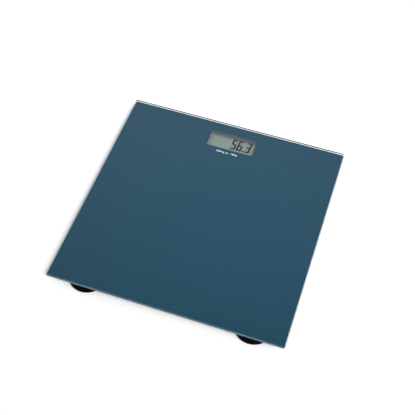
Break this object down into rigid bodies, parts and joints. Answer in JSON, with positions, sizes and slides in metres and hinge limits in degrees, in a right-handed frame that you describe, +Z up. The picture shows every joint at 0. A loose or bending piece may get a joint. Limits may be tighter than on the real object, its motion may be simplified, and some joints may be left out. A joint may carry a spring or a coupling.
{
  "type": "bathroom scale",
  "caption": "Flat square glass bathroom scale with a display window near the back edge and round load-cell feet under the corners.",
  "frame": {"origin": "centre of the glass in plan, on the floor under the rubber pads", "axes": "+Z up, +Y to the display edge, +X to the right for someone who reads the display from the front edge"},
  "size_m": [0.3, 0.3, 0.024],
  "materials": {
    "glass": "clear tempered glass, polished",
    "coat": "blue ink printed on the back of the glass",
    "black_abs": "fine moulded texture",
    "black_rubber": "soft, matt",
    "foam": "closed-cell foam tape",
    "steel": "zinc plated",
    "nickel": "nickel plated",
    "lcd_glass": "grey-green display glass",
    "reflector": "diffuse foil",
    "board": "green solder resist",
    "ceramic": "fired ceramic",
    "silicone": "white silicone",
    "wire": "red, white and black insulation"
  },
  "bodies": {
    "platform": {"glass_platform": "glass", "colour_coat": "coat", "housing_tape": "foam", "housing_tray": "black_abs", "housing_cover": "black_abs", "housing_screws": "steel", "lcd_front_glass": "lcd_glass", "lcd_rear_glass": "lcd_glass", "lcd_reflector": "reflector", "zebra_strip": "black_rubber", "lcd_foam_strip": "foam", "circuit_board": "board", "board_screws": "steel", "chip_seal": "black_abs", "board_parts": "ceramic", "unit_switch": "steel", "coin_cell": "nickel", "battery_contact_plus": "nickel", "battery_contact_minus": "nickel", "foot_tape_front_left": "foam", "foot_tape_front_right": "foam", "foot_tape_back_left": "foam", "foot_tape_back_right": "foam", "foot_carrier_front_left": "black_abs", "foot_carrier_front_right": "black_abs", "foot_carrier_back_left": "black_abs", "foot_carrier_back_right": "black_abs", "load_cell_front_left": "steel", "load_cell_front_right": "steel", "load_cell_back_left": "steel", "load_cell_back_right": "steel", "strain_gauge_front_left": "silicone", "strain_gauge_front_right": "silicone", "strain_gauge_back_left": "silicone", "strain_gauge_back_right": "silicone", "cell_lead_front_left": "wire", "cell_lead_front_right": "wire", "cell_lead_back_left": "wire", "cell_lead_back_right": "wire", "lead_cover_front_left": "black_abs", "lead_cover_front_right": "black_abs", "lead_cover_back_left": "black_abs", "lead_cover_back_right": "black_abs"},
    "unit_button": {"unit_button": "black_abs", "unit_switch_stem": "black_abs"},
    "battery_door": {"battery_door": "black_abs"},
    "foot_front_left": {"foot_cup_front_left": "black_abs", "foot_pad_front_left": "black_rubber"},
    "foot_front_right": {"foot_cup_front_right": "black_abs", "foot_pad_front_right": "black_rubber"},
    "foot_back_left": {"foot_cup_back_left": "black_abs", "foot_pad_back_left": "black_rubber"},
    "foot_back_right": {"foot_cup_back_right": "black_abs", "foot_pad_back_right": "black_rubber"}
  },
  "joints": [
    {"name": "foot_press_front_left", "type": "slide", "parent": "platform", "child": "foot_front_left", "axis": [0, 0, 1], "range_m": [0, 0.0005], "stiffness_N_per_m": 6000, "springref_m": -0.0015},
    {"name": "foot_press_front_right", "type": "slide", "parent": "platform", "child": "foot_front_right", "axis": [0, 0, 1], "range_m": [0, 0.0005], "stiffness_N_per_m": 6000, "springref_m": -0.0015},
    {"name": "foot_press_back_left", "type": "slide", "parent": "platform", "child": "foot_back_left", "axis": [0, 0, 1], "range_m": [0, 0.0005], "stiffness_N_per_m": 6000, "springref_m": -0.0015},
    {"name": "foot_press_back_right", "type": "slide", "parent": "platform", "child": "foot_back_right", "axis": [0, 0, 1], "range_m": [0, 0.0005], "stiffness_N_per_m": 6000, "springref_m": -0.0015},
    {"name": "unit_button_press", "type": "slide", "parent": "platform", "child": "unit_button", "axis": [0, 0, 1], "range_m": [0, 0.0004], "stiffness_N_per_m": 1500, "springref_m": -0.0004},
    {"name": "battery_door_hinge", "type": "hinge", "parent": "platform", "child": "battery_door", "pos_m": [-0.0491, 0.1046, 0.0054], "axis": [-1, 0, 0], "range_deg": [0, 85]}
  ]
}
